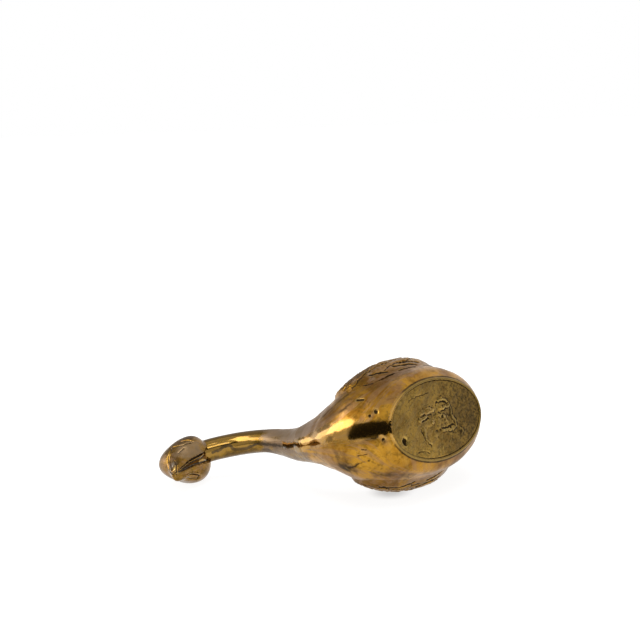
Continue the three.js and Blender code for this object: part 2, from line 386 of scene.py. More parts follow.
def brassFinish(name, look):
    material = bpy.data.materials.new(name)
    start = emptied(material)
    place = start.make("ShaderNodeTexCoord", output="Object")
    hollow, proud, polish, film, dirt, filed = (
        start.make("ShaderNodeAttribute", {"attribute_name": mask}, output="Fac")
        for mask in ("hollow", "proud", "polish", "film", "dirt", "filed")
    )
    flowing = start.make("ShaderNodeAttribute", {"attribute_name": "flow"}, output="Vector")
    drift = place.noise(look["driftSize"], 5, 0.6, 0.6)
    streak = flowing.noise(look["streakSize"], 6, 0.62, 0.8)
    mottle = place.noise(look["mottleSize"], 6, 0.65, 0.4)
    hair = flowing.noise(look["hairSize"], 3, 0.7)
    grit = place.noise(look["gritSize"], 3, 0.6)

    colour = drift.band(0.36, 0.62).over(look["gold"], look["tarnish"])
    colour = (mottle.band(0.5, 0.6) * look["oliveShare"]).over(colour, look["olive"])
    colour = (streak.band(0.5, 0.58) * look["pinkShare"]).over(colour, look["pink"])
    flow = flowing.noise(look["flowSize"], 2, 0.5, 1.2)
    line = 1 - flow.math("ABSOLUTE", flow - 0.5).band(0.004, 0.02)
    colour = (line * mottle.band(0.42, 0.6) * look["lineShare"]).over(colour, look["grimeAndShade"])
    colour = (hair.band(0.45, 0.75) * look["hairShare"]).over(colour, look["pale"])
    colour = filed.over(colour, hair.band(0.35, 0.65).over(look["filed"], look["filedDark"]))
    colour = (polish * 0.7).over(colour, look["bright"])
    haze = (film + (mottle - 0.5) * 0.8 + (streak - 0.5) * 1.3).band(0.2, 0.95)
    colour = (haze * look["hazeShare"]).over(colour, look["haze"])
    # grime in the hollows, together with the dirt and the painted shade laid on some pieces
    grimeAndShade = (hollow * 1.2 + dirt + (mottle - 0.5) * 0.5).band(0.25, 1.0)
    colour = (grimeAndShade * look["grimeAndShadeShare"]).over(colour, look["grimeAndShade"])
    worn = (proud * 1.2 + (streak - 0.5) * 0.6).band(0.35, 1.0)
    colour = (worn * look["wornShare"]).over(colour, look["pale"])
    specks = grit.band(0.68, 0.74) * look["speckShare"] * (1 - polish * 0.6)
    colour = specks.over(colour, look["grimeAndShade"])

    rough = look["roughness"] + (drift - 0.5) * 0.3 + (mottle - 0.5) * 0.3 + (hair - 0.5) * 0.16
    rough = rough + grimeAndShade * 0.25 + haze * 0.16 - worn * 0.1 + filed * 0.12
    rough = rough * (1 - polish * 0.85) + polish * look["polished"]
    rough = rough.make("ShaderNodeClamp", None, {"Value": rough, "Min": 0.05, "Max": 0.85})
    height = hair * look["hairDepth"] + grit * look["gritDepth"] + mottle * look["mottleDepth"]
    height = height * (1 - polish * 0.8)
    normal = start.make(
        "ShaderNodeBump", None, {"Height": height, "Strength": 1.0, "Distance": 0.001}
    )
    metal = 1 - haze * look["hazeDull"] - grimeAndShade * 0.15
    shader = start.make(
        "ShaderNodeBsdfPrincipled",
        None,
        {
            "Base Color": colour,
            "Metallic": metal,
            "Roughness": rough,
            "Normal": normal,
            "Coat Weight": polish * look["coatShare"],
            "Coat Roughness": look["coatRoughness"],
        },
    )
    start.make("ShaderNodeOutputMaterial", None, {"Surface": shader})
    return material


castLook = {
    "gold": tone(184, 134, 44), "tarnish": tone(126, 83, 22), "pink": tone(148, 112, 78),
    "olive": tone(112, 82, 24), "pale": tone(208, 170, 92), "bright": tone(182, 136, 52),
    "haze": tone(142, 120, 100), "grimeAndShade": tone(42, 29, 10), "filed": tone(112, 90, 45),
    "filedDark": tone(88, 70, 34), "pinkShare": 0.55, "oliveShare": 0.55, "hairShare": 0.2,
    "lineShare": 0.3, "hazeShare": 0.85, "hazeDull": 0.45, "grimeAndShadeShare": 0.93,
    "wornShare": 0.28, "speckShare": 0.7, "driftSize": 24, "flowSize": 9, "streakSize": 4,
    "mottleSize": 4.5, "hairSize": 0.8, "gritSize": 0.6, "roughness": 0.36, "polished": 0.07,
    "coatShare": 0.7, "coatRoughness": 0.055, "hairDepth": 0.04, "gritDepth": 0.02,
    "mottleDepth": 0.12,
}
castFinish = brassFinish("cast_brass", castLook)
wingFinish = brassFinish(
    "wing_brass",
    {
        **castLook,
        "gold": tone(152, 109, 34), "tarnish": tone(110, 73, 23), "pink": tone(140, 106, 76),
        "pale": tone(180, 142, 74), "pinkShare": 0.6, "grimeAndShadeShare": 0.97, "roughness": 0.33,
    },
)
neckFinish = brassFinish(
    "neck_brass",
    {
        **castLook,
        "gold": tone(148, 112, 32), "tarnish": tone(116, 84, 20), "olive": tone(92, 69, 16),
        "bright": tone(148, 112, 40), "haze": tone(142, 118, 96), "hazeShare": 0.78,
        "hazeDull": 0.4, "coatShare": 0.5, "pinkShare": 0.3, "lineShare": 0.2,
        "roughness": 0.24, "mottleDepth": 0.06, "speckShare": 0.3,
    },
)
headFinish = brassFinish(
    "head_brass",
    {
        **castLook,
        "gold": tone(142, 105, 40), "tarnish": tone(112, 80, 30), "olive": tone(88, 67, 24),
        "pale": tone(176, 140, 74), "haze": tone(132, 110, 82), "hazeShare": 0.72,
        "hazeDull": 0.35, "bright": tone(170, 132, 52), "lineShare": 0.2, "wornShare": 0.2,
        "roughness": 0.28, "driftSize": 12, "streakSize": 3, "mottleSize": 2.5, "hairSize": 0.7,
        "mottleDepth": 0.05, "speckShare": 0.3,
    },
)
plateFinish = brassFinish(
    "filed_brass",
    {
        **castLook,
        "gold": tone(174, 136, 60), "tarnish": tone(130, 98, 40), "pink": tone(142, 116, 72),
        "olive": tone(96, 80, 36), "pale": tone(190, 168, 100), "pinkShare": 0.4,
        "oliveShare": 0.6, "lineShare": 0.35, "flowSize": 5, "hairShare": 0.5, "driftSize": 14,
        "streakSize": 2.4, "mottleSize": 1.6, "hairSize": 0.4, "gritSize": 0.45,
        "roughness": 0.45, "hairDepth": 0.06, "gritDepth": 0.05,
    },
)
print("finishes made")


# Bowl
bowl = {
    "footHalfLength": 38.2,
    "footHalfWidth": 22.4,
    "footRing": 1.1,
    "plateThickness": 3,
    "jointGap": 0.25,
    "ledge": 2,
    "wall": 3.2,
    "solidTail": 13,
    "tailReach": 64,
    "insideTop": 62,
    "neckSeat": (0, -38.9, 66),
    "boreRadius": 4.75,
    "boreDepth": 9.25,
    # how far out the bodies reach that are cut away from it
    "cutBelow": -1,
    "cutTop": 76,
    "cutSide": 70,
    "boreTop": 74,
    "voxel": 0.5,
    "rounds": 5,
    "frontReach": [
        (0, 38.2), (8.91, 47.5), (21.6, 56), (36, 56), (50, 52.8), (58, 51.6), (66, 49)
    ],
    "rearReach": [(0, 38.2), (10.8, 48.6), (27, 52.5), (40, 57), (54, 64), (66, -28.8)],
    "halfWidth": [
        (0, 22.4), (5.13, 27.8), (13.5, 30.7), (27, 34), (40, 29), (46, 25.6), (52, 22.3),
        (58, 15.6), (66, 10.6),
    ],
    "widest": [(0, 0), (27, -1.5), (50, -1), (58, -22.9), (66, -38.9)],
    "rearPower": [(0, 2), (8.1, 2.2), (27, 1.95), (54, 1.4)],
    "innerLimit": [(0, 56), (36, 52.8), (42, 37.4), (50, 29.4), (58, 24.4), (66, 22.4)],
    "rim": [
        (-28.4, 67), (-27.96, 62), (-25.76, 56), (-19.82, 50.2), (-6.4, 46.5), (25.6, 46),
        (51.2, 48.5), (64, 51.5), (74, 54),
    ],
    # pits left by the casting: place, width, depth
    "pits": [
        ((11.7, -40.8, 6.1), 0.9, 0.9),
        ((10.3, -43.9, 8.3), 0.7, 0.4),
        ((-3.6, -42.0, 3.8), 0.75, 1.0),
    ],
    # shallow hollows round the pits
    "dimples": [((11.2, -42.0, 7.0), 2.6, 0.3), ((-3.8, -42.2, 4.4), 2.2, 0.28)],
    # darker places: middle, size, how dark
    "darkPatches": [
        ((-9.5, -54, 24), 9, 0.5), ((-18, -46, 32), 11, 0.46), ((-22, -37, 14), 8, 0.42),
        ((-8, -52, 46), 9, 0.4), ((14.5, -42, 9.5), 6, 0.42), ((17, -44, 22), 8, 0.4),
        ((-28, -22, 14), 9, 0.44), ((20, -40, 30), 10, 0.24), ((14, -46, 42), 9, 0.36),
        ((27, -20, 12), 7, 0.16), ((24, 20, 8), 8, 0.3), ((-30, 6, 13), 10, 0.4),
        ((-29, 26, 18), 9, 0.36),
    ],
    # knife-like nicks and the soft step where the right wing starts
    "nicks": [
        ([(19.9, -42.6, 17.6), (19.7, -41.4, 15.6), (19.4, -40.0, 13.6)], 0.5, 0.9),
        ([(-6.2, -50.6, 14), (-7, -49.4, 12.6), (-7.2, -48, 11.2)], 0.35, 0.2),
        ([(-8.6, -50.4, 18), (-9.6, -48.8, 15), (-9.4, -47, 11.6)], 0.5, 0.16),
    ],
    # dark streaks: line, width, how dark
    "darkLines": [
        ([(20.2, -42.7, 18.1), (19.6, -41.2, 15.4), (19.3, -39.8, 13.4)], 0.8, 0.8),
        (
            [(20.2, -42.7, 18.1), (17, -48.1, 21.4), (13.8, -51.9, 26.4), (10.4, -53.1, 34),
             (6.2, -52.9, 43.3)],
            0.9, 0.42,
        ),
        ([(24.6, -36, 22), (21, -43, 27), (17, -47.6, 34), (12, -49.4, 44)], 1.1, 0.36),
        ([(27.9, -23.5, 14.9), (29.4, -13.3, 12.4), (30.8, 1.5, 13.9)], 0.9, 0.4),
        ([(-12.6, -51, 33), (-15.6, -48.6, 26), (-17.6, -45, 19), (-17, -40, 12)], 2.2, 0.22),
        ([(-20, -41, 20), (-23.6, -34, 14), (-25.4, -24, 10), (-25.6, -12, 8)], 2.4, 0.22),
    ],
    "steps": [
        ([(-15.6, -50.4, 27), (-15.2, -49.9, 21.8), (-13.9, -48.4, 17),
          (-13.9, -44.5, 12)], 1.3, 0.3)
    ],
    # the strip up the breast that hands have rubbed bright
    "strip": [
        (5, -47.5, 110), (3.6, -42.6, 98), (1.6, -43.6, 82), (0.8, -47.4, 70), (0.6, -49.2, 64),
        (0.8, -51.4, 57), (3.4, -54.3, 41), (5.2, -55.6, 30), (5.6, -54.8, 20), (3.6, -50, 12.5),
        (2, -41, 4),
    ],
    # how wide it is, by the share of its length from the top
    "stripWidth": [(0, 1), (0.3, 1.4), (0.45, 3.4), (0.75, 5), (1, 3.8)],
    # feather lines cut in the tail: the height that each starts at, width, depth
    "tailLines": ((34, 38.5, 42.5, 46), 0.42, 0.5),
    # and on the deck above it: how far to the side each starts, width, depth
    "deckLines": ((-6, -2.4, 2.4, 6), 0.4, 0.45),
    # where the rim of the foot carries a painted highlight, polished and kept light on the side
    # that faces the light: from the swan's right, to its left, front
    "paintedRimHighlight": ((-10, -3), (24, 15), (-20, -29)),
    "pitDirt": 0.8,
    # the pinkish skin at the root of the neck: the heights over which it starts and ends, how
    # far from the swan's right to its left it thickens, and its share where it is thin
    "filmStarts": (38, 58),
    "filmEnds": (90, 107),
    "filmLeft": (-9, 4),
    "filmLeast": 0.6,
    # inside the bowl: depth and size of the waves, and how much darker it grows towards the bottom
    "innerWaves": (0.25, 5),
    "insideDarkening": 0.35,
}
frontReach, rearReach, halfWidth, widest, rearPower = (
    along(bowl[key]) for key in ("frontReach", "rearReach", "halfWidth", "widest", "rearPower")
)


def flankAt(place, height):
    # half width of the bowl's outside at a place along it
    middle = widest(height)
    ahead, behind = frontReach(height) + middle, rearReach(height) - middle
    fore = place < middle
    share = np.where(fore, (middle - place) / ahead, (place - middle) / behind)
    power = np.where(fore, 2, rearPower(height))
    return halfWidth(height) * np.sqrt(np.clip(1 - np.clip(share, 0, 2) ** power, 0, 1))


def bowlRing(height, sides, inset=0.0, frontLimit=np.inf, rearLimit=np.inf):
    # a level section of the bowl's outside, drawn in all round by inset
    angle = turns(sides)
    middle = widest(height)
    ahead = min(frontReach(height) + middle - inset, frontLimit + middle)
    behind = min(rearReach(height) - middle - inset, rearLimit - middle)
    rise = np.sin(angle)
    reach = np.where(rise < 0, ahead * rise, behind * np.abs(rise) ** (2 / rearPower(height)))
    across = (halfWidth(height) - inset) * np.cos(angle)
    return np.stack([across, middle + reach, np.full(sides, height)], -1)


def ovalRing(halfWide, halfLong, middle, height, sides):
    x, y = halfWide * np.cos(turns(sides)), halfLong * np.sin(turns(sides))
    return np.stack([middle[0] + x, middle[1] + y, np.full(sides, height)], -1)


def bowlPiece():
    tall, thick, wall = bowl["neckSeat"][2], bowl["plateThickness"], bowl["wall"]
    piece = loft("bowlCasting", [bowlRing(h, 240) for h in np.linspace(0, tall, 160)])
    ledge = halfWidth(thick) - (bowl["footHalfWidth"] - bowl["footRing"] - bowl["ledge"])
    inset = along([(thick, ledge), (thick + 4, wall + 1), (thick + 10, wall)])
    limit = along(bowl["innerLimit"])
    rearLimit = bowl["tailReach"] - bowl["solidTail"]
    heights = np.linspace(thick, bowl["insideTop"], 110)
    inside = loft("inside", [bowlRing(h, 180, inset(h), limit(h), rearLimit) for h in heights])
    wide, long = (bowl[key] - bowl["footRing"] for key in ("footHalfWidth", "footHalfLength"))
    levels = (bowl["cutBelow"], thick + bowl["jointGap"])
    floorSpace = loft("floorSpace", [ovalRing(wide, long, (0, 0), h, 200) for h in levels])
    rim = curveThrough(bowl["rim"], 20, even=True)
    above = np.array([(rim[0, 0], bowl["cutTop"]), *rim, (rim[-1, 0], bowl["cutTop"])])
    ends = (-bowl["cutSide"], bowl["cutSide"])
    slab = loft("aboveRim", [np.insert(above, 0, x, axis=1) for x in ends])
    x, y, z = bowl["neckSeat"]
    radius, levels = bowl["boreRadius"], (z - bowl["boreDepth"], bowl["boreTop"])
    bore = loft("bore", [ovalRing(radius, radius, (x, y), h, 40) for h in levels])
    cut(piece, inside, floorSpace, slab, bore)
    remake(piece, bowl["voxel"], bowl["rounds"])
    return piece


def filmAt(points):
    left, height = points[:, 0] + 5 * clouds(points, 9, 5), points[:, 2]
    low = smoothStep(*bowl["filmStarts"], height + 0.5 * left + 5 * clouds(points, 12, 6))
    high = 1 - smoothStep(*bowl["filmEnds"], height + 4 * clouds(points, 7, 57))
    return low * high * blend(smoothStep(*bowl["filmLeft"], left), bowl["filmLeast"], 1)


def stripAt(points):
    away, share = nearLine(points, curveThrough(bowl["strip"], 10))
    reach = along(bowl["stripWidth"])(share)
    return 1 - smoothStep(0.8, 1.5, (away + 1.3 * clouds(points, 5, 21)) / reach)


bowlBody = bowlPiece()
spots, normals = surfaceOf(bowlBody)
core = np.stack([0 * spots[:, 0], np.clip(spots[:, 1], -30, 30), 30 + 0 * spots[:, 0]], -1)
outside = ((spots - core) * normals).sum(1) > 0
sink = dents(spots, bowl["pits"] + bowl["dimples"]) + strokes(spots, bowl["nicks"] + bowl["steps"])
starts, width, depth = bowl["tailLines"]
for start in starts:
    for side in (-1, 1):
        root = (side * float(flankAt(50.5, start)), 50.5, start)
        near = (side * 3.2, 58.6, start * 0.3 + 35.4)
        sink += stroke(spots, [root, near, (0, 62.5, 52)], width, depth, 0.1)
starts, width, depth = bowl["deckLines"]
for x in starts:
    line = [(x, 53.5, 49.3), (x * 0.5, 58, 50.2), (0, 62.5, 51.3)]
    sink += stroke(spots, line, width, depth, 0.1)
keep = smoothStep(0.3, 3, spots[:, 2])  # the foot stays flat
waves, size = bowl["innerWaves"]
bowlPolish = stripAt(spots) * outside
lower = sink + unevenness(spots, bowlPolish) * outside + waves * clouds(spots, size, 13) * ~outside
setPoints(bowlBody, spots - normals * (lower * keep)[:, None])
dirtyPits = [(middle, 1.1 * width, bowl["pitDirt"]) for middle, width, depth in bowl["pits"]]
pitDirt = dents(spots, dirtyPits)
# painted highlight on the rim: it is polished there and left without the dark ring and the filed
# colour
fromRight, fromLeft, front = bowl["paintedRimHighlight"]
rimHighlight = smoothStep(*fromRight, spots[:, 0]) * smoothStep(*fromLeft, spots[:, 0])
rimHighlight = rimHighlight * smoothStep(*front, spots[:, 1])
# the filed edge of the foot, and the dark ring just above it
footEdge = 1 - smoothStep(0.5, 1.1, spots[:, 2] + 0.3 * clouds(spots, 3, 17))
ring = smoothStep(0.3, 0.7, spots[:, 2]) * (1 - smoothStep(0.9, 1.6, spots[:, 2]))
rimBand = (spots[:, 2] < 1.1) * (spots[:, 2] > 0.1)
darker = dents(spots, bowl["darkPatches"]) + strokes(spots, bowl["darkLines"])
# darker towards the bottom of the inside
insideDarkening = bowl["insideDarkening"] * ~outside * smoothStep(50, 8, spots[:, 2])
# streaks fan out from the neck over the flanks
fan = np.sqrt(np.abs(spots[:, 0]) * np.maximum(spots[:, 2] - 4, 1)) / 0.7 + 0.2 * spots[:, 0]
fan = fan + 0.8 * clouds(spots, 14, 33)
finishPiece(
    bowlBody, "bowl_body", castFinish,
    {
        "polish": np.maximum(bowlPolish, rimHighlight * rimBand),
        "film": filmAt(spots) * (1 - bowlPolish * 0.8) * outside,
        "dirt": np.maximum(pitDirt, insideDarkening) + (0.8 * ring * (1 - rimHighlight) + darker) * outside,
        "filed": footEdge * (1 - rimHighlight) * outside,
        "flow": np.stack([fan, 0.16 * (spots[:, 1] - spots[:, 2]), 30 * (spots[:, 0] > 0)], -1),
    },
)


# Floor plate
plate = {
    "halfLength": 37.05,
    "halfWidth": 21.25,
    "thickness": 3,
    "bevel": 0.4,
    "voxel": 0.36,
    # the one deep pit: place, half size, depth
    "pit": ((-7.6, -28.8), (2.6, 1.9), 1.7),
    "roughness": 0.05,
    # how deep the sink is that the scars stand in
    "sunk": 0.43,
    # darker towards the tail: how dark, and where it starts and is full
    "grimeAndShade": 0.62,
    "darkeningPlaces": (-24, 30),
    # marks that the casting left near the middle: points, width, height
    "ridges": [
        ([(9.5, 1.9), (9.8, 9.6), (6, 11.3), (5, 6.3), (6.9, 2.6)], 0.75, 0.4),
        ([(3.8, -15.1), (4.8, -10.6), (5.8, -5.7), (4.9, -0.4)], 0.9, 0.5),
        ([(2.7, -15.9), (1.7, -13.4), (1.8, -10.6), (3.1, -7.9)], 0.8, 0.5),
        ([(6.6, 11.5), (0.2, 12.9), (-6.3, 14.3), (-7.5, 10.1), (-6.3, 0)], 0.7, 0.35),
        ([(-0.1, -14), (-6.5, -12.2), (-11.1, -10.8), (-14.1, -8)], 0.7, 0.3),
        ([(-5.2, -12.7), (-9.4, -13), (-12.4, -10.2)], 0.6, 0.25),
        ([(-9.6, 16.7), (-8.3, 18.5), (-10.4, 19.4), (-12.5, 17.2)], 0.6, 0.25),
        ([(2.4, 1.6), (-0.6, 6.4), (-3.4, 7.4)], 0.8, 0.3),
    ],
    # small lumps between them: middle, width, height
    "knots": [((-1.2, -4.1), 1.0, 0.5), ((1.8, -10.6), 0.9, 0.4), ((5.2, -7.4), 0.9, 0.4)],
    # scratches: points, width, depth
    "grooves": [
        ([(1.2, -12.8), (1.0, -9.4), (2.6, -6.6)], 0.6, 0.6),
        ([(8.4, 0.2), (8.9, 6.2), (7.2, 12.4)], 0.5, 0.4),
        ([(3.6, 4.4), (4.4, 10.4)], 0.5, 0.35),
        ([(0.5, 3.2), (0.4, 4.8)], 0.8, 0.6),
        ([(-5.2, 1.2), (-6.2, 8.6), (-4.9, 13.2)], 0.5, 0.35),
        ([(-2.2, -15.4), (-9.8, -12.4), (-15.2, -8.6)], 0.45, 0.3),
        ([(-14.4, -20.9), (-15.6, -15.8), (-17.1, -11.6)], 0.45, 0.35),
        ([(12.2, -22), (14.6, -12), (15.2, -2)], 0.35, 0.2),
    ],
}


def floorPiece():
    wide, long, bevel = plate["halfWidth"], plate["halfLength"], plate["bevel"]
    levels = [(0, bevel), (bevel, 0), (plate["thickness"], 0)]
    piece = loft("floorPlate", [ovalRing(wide - i, long - i, (0, 0), h, 220) for h, i in levels])
    remake(piece, plate["voxel"], 2)
    return piece


floorPlate = floorPiece()
spots, normals = surfaceOf(floorPlate)
under = normals[:, 2] < -0.6
flat = spots * (1, 1, 0)
warped = flat[:, :2] + 0.9 * np.stack([clouds(flat, 3, 31), clouds(flat, 3, 37)], -1)
proudOf = dents(spots[:, :2], plate["knots"])
for sign, marks in ((1, plate["ridges"]), (-1, plate["grooves"])):
    for line, width, depth in marks:
        away, share = nearLine(warped, drawn(line))
        proudOf += sign * depth * endsOf(share, 0.12) * np.exp(-((away / width) ** 2))
# the middle of the plate, where the scars are
centre = np.exp(-((np.hypot(flat[:, 0] - 0.5, (flat[:, 1] + 1) * 0.75) / 11) ** 4))
proudOf += 0.2 * centre * clouds(flat, 2.4, 41) + plate["roughness"] * clouds(flat, 1.6, 43)
middle, (pitWide, pitLong), pitDepth = plate["pit"]
pit = np.exp(-(np.linalg.norm((warped - middle) / (pitWide, pitLong), axis=1) ** 4))
proudOf -= pitDepth * pit
# the scars stand in a shallow sink, so none of them reaches past the foot
low, sunk = spots.copy(), plate["sunk"]
low[:, 2] = np.maximum(spots[:, 2] - (np.minimum(proudOf, sunk - 0.01) - sunk) * under, 0)
setPoints(floorPlate, low)
edgeAway = 1 - np.hypot(spots[:, 0] / plate["halfWidth"], spots[:, 1] / plate["halfLength"])
jointDirt = 0.45 * (1 - smoothStep(0.0, 0.02, edgeAway))
# the plate grows darker towards the tail
grimeAndShade = plate["grimeAndShade"] * smoothStep(*plate["darkeningPlaces"], spots[:, 1])
finishPiece(
    floorPlate, "base_plate", plateFinish,
    {
        "dirt": np.maximum(jointDirt, pit) + grimeAndShade,
        "polish": 0.45 * centre * smoothStep(0.1, 0.35, proudOf),
        "flow": spots @ np.array([[0.8, 0.07, 0], [-0.6, 0.1, 0], [0, 0, 1]]),
    },
    reach=8,
    strength=0.12,
)


# Wings
wing = {
    "rows": 400,
    "across": 150,
    "thickness": 2.6,
    "edgeThickness": 0.8,
    # how far its rear stands out, and the shares of its length where that starts and ends
    "rearLift": (0.8, (0.42, 0.64), (0.72, 0.86)),
    "clearance": 0.3,
    "relief": 1.2,
    "widest": 37.2,
    # how far up from the lower edge the left and right wings stay plain
    "plainEdge": (0.5, 4),
    # grooves cut by hand across the feathers of the left and right wings
    "grooves": (
        [
            [(35.2, -3.7, 18.9), (34.8, 4.2, 17.7), (33.7, 12.3, 16.9), (32.5, 15, 15.9)],
            [(34.1, -10.6, 17.9), (33.9, -1.8, 15.9), (33.4, 6.5, 15.2), (32, 11, 13.7)],
            [(31.5, -9.3, 13.1), (31, 4.8, 12.6), (29.6, 6.6, 10.4)],
            [(27.2, -35.5, 20.4), (26.8, -29.5, 15.7), (27.1, -24.6, 13.6), (29.5, -18.7, 13.3),
             (30.8, -11.8, 12.7)],
            [(34.3, -21.2, 28.3), (35.5, -15, 25), (36, -8.7, 22.5)],
            [(31.6, -26.4, 20.7), (32, -20, 17.4), (32.3, -13.8, 15.5)],
            [(31.2, 11.2, 13.2), (30.4, 18, 14.6), (29.1, 25.1, 16.8)],
            [(36.6, 2, 22.5), (36, 10, 21.5), (34.6, 18, 21.2), (32.6, 26, 22)],
            [(34.6, -24, 30), (36.4, -16, 27), (37, -4, 25.4), (36.8, 6, 25)],
            [(33.6, -30, 33), (35.8, -22, 32), (37, -10, 29.6)],
        ],
        [
            [(-29.4, -33.6, 26), (-31.7, -28.3, 22.7), (-33.3, -21.5, 21), (-33.5, -15.4, 18.4),
             (-32.8, -9.4, 15.2)],
            [(-35.2, -8, 20.4), (-34.9, 4.2, 18.6), (-33.7, 14.3, 17.9)],
            [(-34, -2, 16.4), (-33.2, 8, 15.4), (-31, 16.8, 14.4)],
            [(-36.2, -22, 27), (-37, -12, 25), (-37, 0, 24), (-36, 12, 24)],
            [(-35.4, -26, 32), (-36.8, -16, 30), (-37, -2, 28.6), (-36.6, 8, 28)],
            [(-34.4, -29, 36), (-36, -20, 35), (-36.6, -8, 33)],
        ],
    ),
    "seat": -0.25,
    "length": 90,
    "lower": [
        (-37, 35), (-40, 24), (-33, 17), (-16, 13), (10, 13), (30, 18.95), (42.5, 30), (50, 47.8)
    ],
    "upper": [
        (-37, 35), (-32.5, 43.5), (-23.4, 49.6), (-12.4, 48.2), (0, 47), (30, 47), (50, 47.8)
    ],
    # feather rows from the front: where the row's free edge is, how long its tips are, how
    # many feathers it has across, and how far it is shifted across
    "featherRows": [
        (0.10, 0.035, 4, 0.0),
        (0.17, 0.04, 5, 0.5),
        (0.24, 0.045, 6, 0.0),
        (0.31, 0.05, 7, 0.5),
        (0.40, 0.06, 8, 0.0),
        (0.56, 0.09, 8, 0.5),
        (0.76, 0.12, 9, 0.0),
        (1.2, 0.1, 9, 0.5),
    ],
    # how many of these rows, from the front, are short feathers without barbs
    "shortRows": 4,
    "barbs": 210,
    # how wide and deep the grooves are
    "grooveWidth": 0.55,
    "grooveDepth": 0.6,
    # painted shade at the front of the wing, so that it mirrors the floor less brightly: how dark,
    # and where it starts and is full
    "paintedFrontShade": 0.4,
    "frontPlaces": (-30, -37),
    # how far from their front and rear the left and right wings rise to their full height
    "rise": ((4, 7), (9, 7)),
}


def featherRelief(u, v, drawing, seed):
    # relief of overlapping feathers over a wing, from 0 in the grooves to 1 at the shafts
    shift = 0.013 * clouds(drawing, 9, seed), 0.03 * clouds(drawing, 8, seed + 5)
    u, v = u + shift[0], v + shift[1]
    found = np.full(len(u), -1.0)
    before = np.zeros(len(u))
    for row, (end, tip, count, stagger) in enumerate(wing["featherRows"]):
        q = v * count + stagger
        index = np.floor(q)
        t = q - index
        # the long feathers end unevenly, by a number drawn from each one's own place
        lot = np.sin(index * 12.9 + row * 78.2 + seed) * 43758.5
        lot = lot - np.floor(lot)
        off = np.abs(2 * t - 1)
        long = row >= wing["shortRows"]
        edge = end + tip * (1 - off**2.4) + 0.022 * (lot - 0.5) * long
        length = np.maximum(edge - before, 0.05)
        s = np.clip((u - before) / length, 0, 1)
        side = smoothStep(0, 0.3, 1 - off)
        freeEdge = smoothStep(0, 0.1, (edge - u) / 0.09)
        shaft = np.exp(-(((t - 0.5 - 0.06 * s) / 0.06) ** 2))
        barbs = np.sin(u * wing["barbs"] + np.abs(t - 0.5) * 9)
        body = 0.3 + 0.3 * s + 0.28 * (1 - t) + 0.16 * shaft + 0.07 * barbs * long
        height = body * side * freeEdge * smoothStep(-0.2, 0.4, (u - before) / 0.03 + 0.2)
        fresh = (found < 0) & (u < edge)
        found = np.where(fresh, height, found)
        before = np.where(u >= edge, edge, before)
    return np.clip(found, 0, 1)


def wingPiece(name, side):
    low = curveThrough(wing["lower"], even=True)
    high = curveThrough(wing["upper"], even=True)
    share = np.linspace(0.012, 0.988, wing["rows"])
    step = np.linspace(0, 1, wing["across"])
    lowAt, highAt = pointAt(low, share), pointAt(high, share)
    flat = lowAt[:, None] + (highAt - lowAt)[:, None] * step[None, :, None]
    place, height = flat[..., 0].ravel(), flat[..., 1].ravel()
    drawing = np.stack([place, height, 0 * place], -1)
    u, v = np.repeat(share, len(step)), np.tile(step, len(share))
    tallness = np.repeat(np.linalg.norm(highAt - lowAt, axis=1), len(step))
    swell = (np.sin(np.pi * v) * np.sin(np.pi * u)).clip(0, 1) ** 0.4
    lift, starts, ends = wing["rearLift"]
    lift = lift * smoothStep(*starts, u) * (1 - smoothStep(*ends, u))
    fore, rear = (reach / wing["length"] for reach in wing["rise"][side < 0])
    soft = np.minimum(v * tallness / 9, np.minimum(u / fore, (1 - u) / rear))
    toEdge = (1 - v) * tallness + 0.3 * clouds(drawing, 4, 61 + side)
    plain = v * tallness + 1.2 * clouds(drawing, 7, 63 + side)
    rounded = smoothStep(0, 1, soft) * np.sqrt(smoothStep(-0.4, 2.2, toEdge))
    thick = blend(swell, wing["edgeThickness"], wing["thickness"]) + lift + wing["clearance"]
    relief = featherRelief(u, v, drawing, 71 if side > 0 else 83)
    edge = wing["plainEdge"][side < 0]
    carved = wing["relief"] * (0.6 - relief) * blend(swell, 0.6, 1) * rounded
    carved = carved * smoothStep(edge, edge + 4, plain)
    cast = 0.12 * clouds(drawing, 2.5, 97) + 0.15 * clouds(drawing, 9, 99)
    seat = flankAt(place, height)
    outerAt = seat + wing["seat"] + (thick - wing["seat"]) * rounded - carved + cast * rounded
    outerAt = np.clip(outerAt, seat + wing["seat"] + 0.02, wing["widest"])
    shape = (len(share), len(step))
    outer = np.stack([side * outerAt, place, height], -1).reshape(*shape, 3)
    inner = np.stack([side * (seat + wing["seat"]), place, height], -1).reshape(*shape, 3)
    rings = np.concatenate([outer, inner[:, ::-1]], 1)
    return loft(name, rings[:, ::-1] if side > 0 else rings)


for name, node, side in (("leftWing", "left_wing", 1), ("rightWing", "right_wing", -1)):
    piece = wingPiece(name, side)
    spots, normals = surfaceOf(piece)
    film = 0.45 * smoothStep(-0.2, 0.7, clouds(spots, 12, 19))
    groove = 0 * film
    wander = spots + 0.35 * np.stack([clouds(spots, 2.5, n, 2) for n in (23, 25, 27)], -1)
    for line in wing["grooves"][side < 0]:
        away, share = nearLine(wander, onto(spots, line))
        cutIn = endsOf(share, 0.15) * np.exp(-((away / wing["grooveWidth"]) ** 2))
        groove = np.maximum(groove, cutIn)
    setPoints(piece, spots - normals * (wing["grooveDepth"] * groove)[:, None])
    # painted shade: the wing's front is darkened so that it mirrors the floor less brightly
    front = wing["paintedFrontShade"] * smoothStep(*wing["frontPlaces"], spots[:, 1])
    marks = {"film": film, "dirt": np.maximum(groove, front), "flow": spots * (1, 0.2, 1)}
    finishPiece(piece, node, wingFinish, marks, reach=12, strength=0.1)


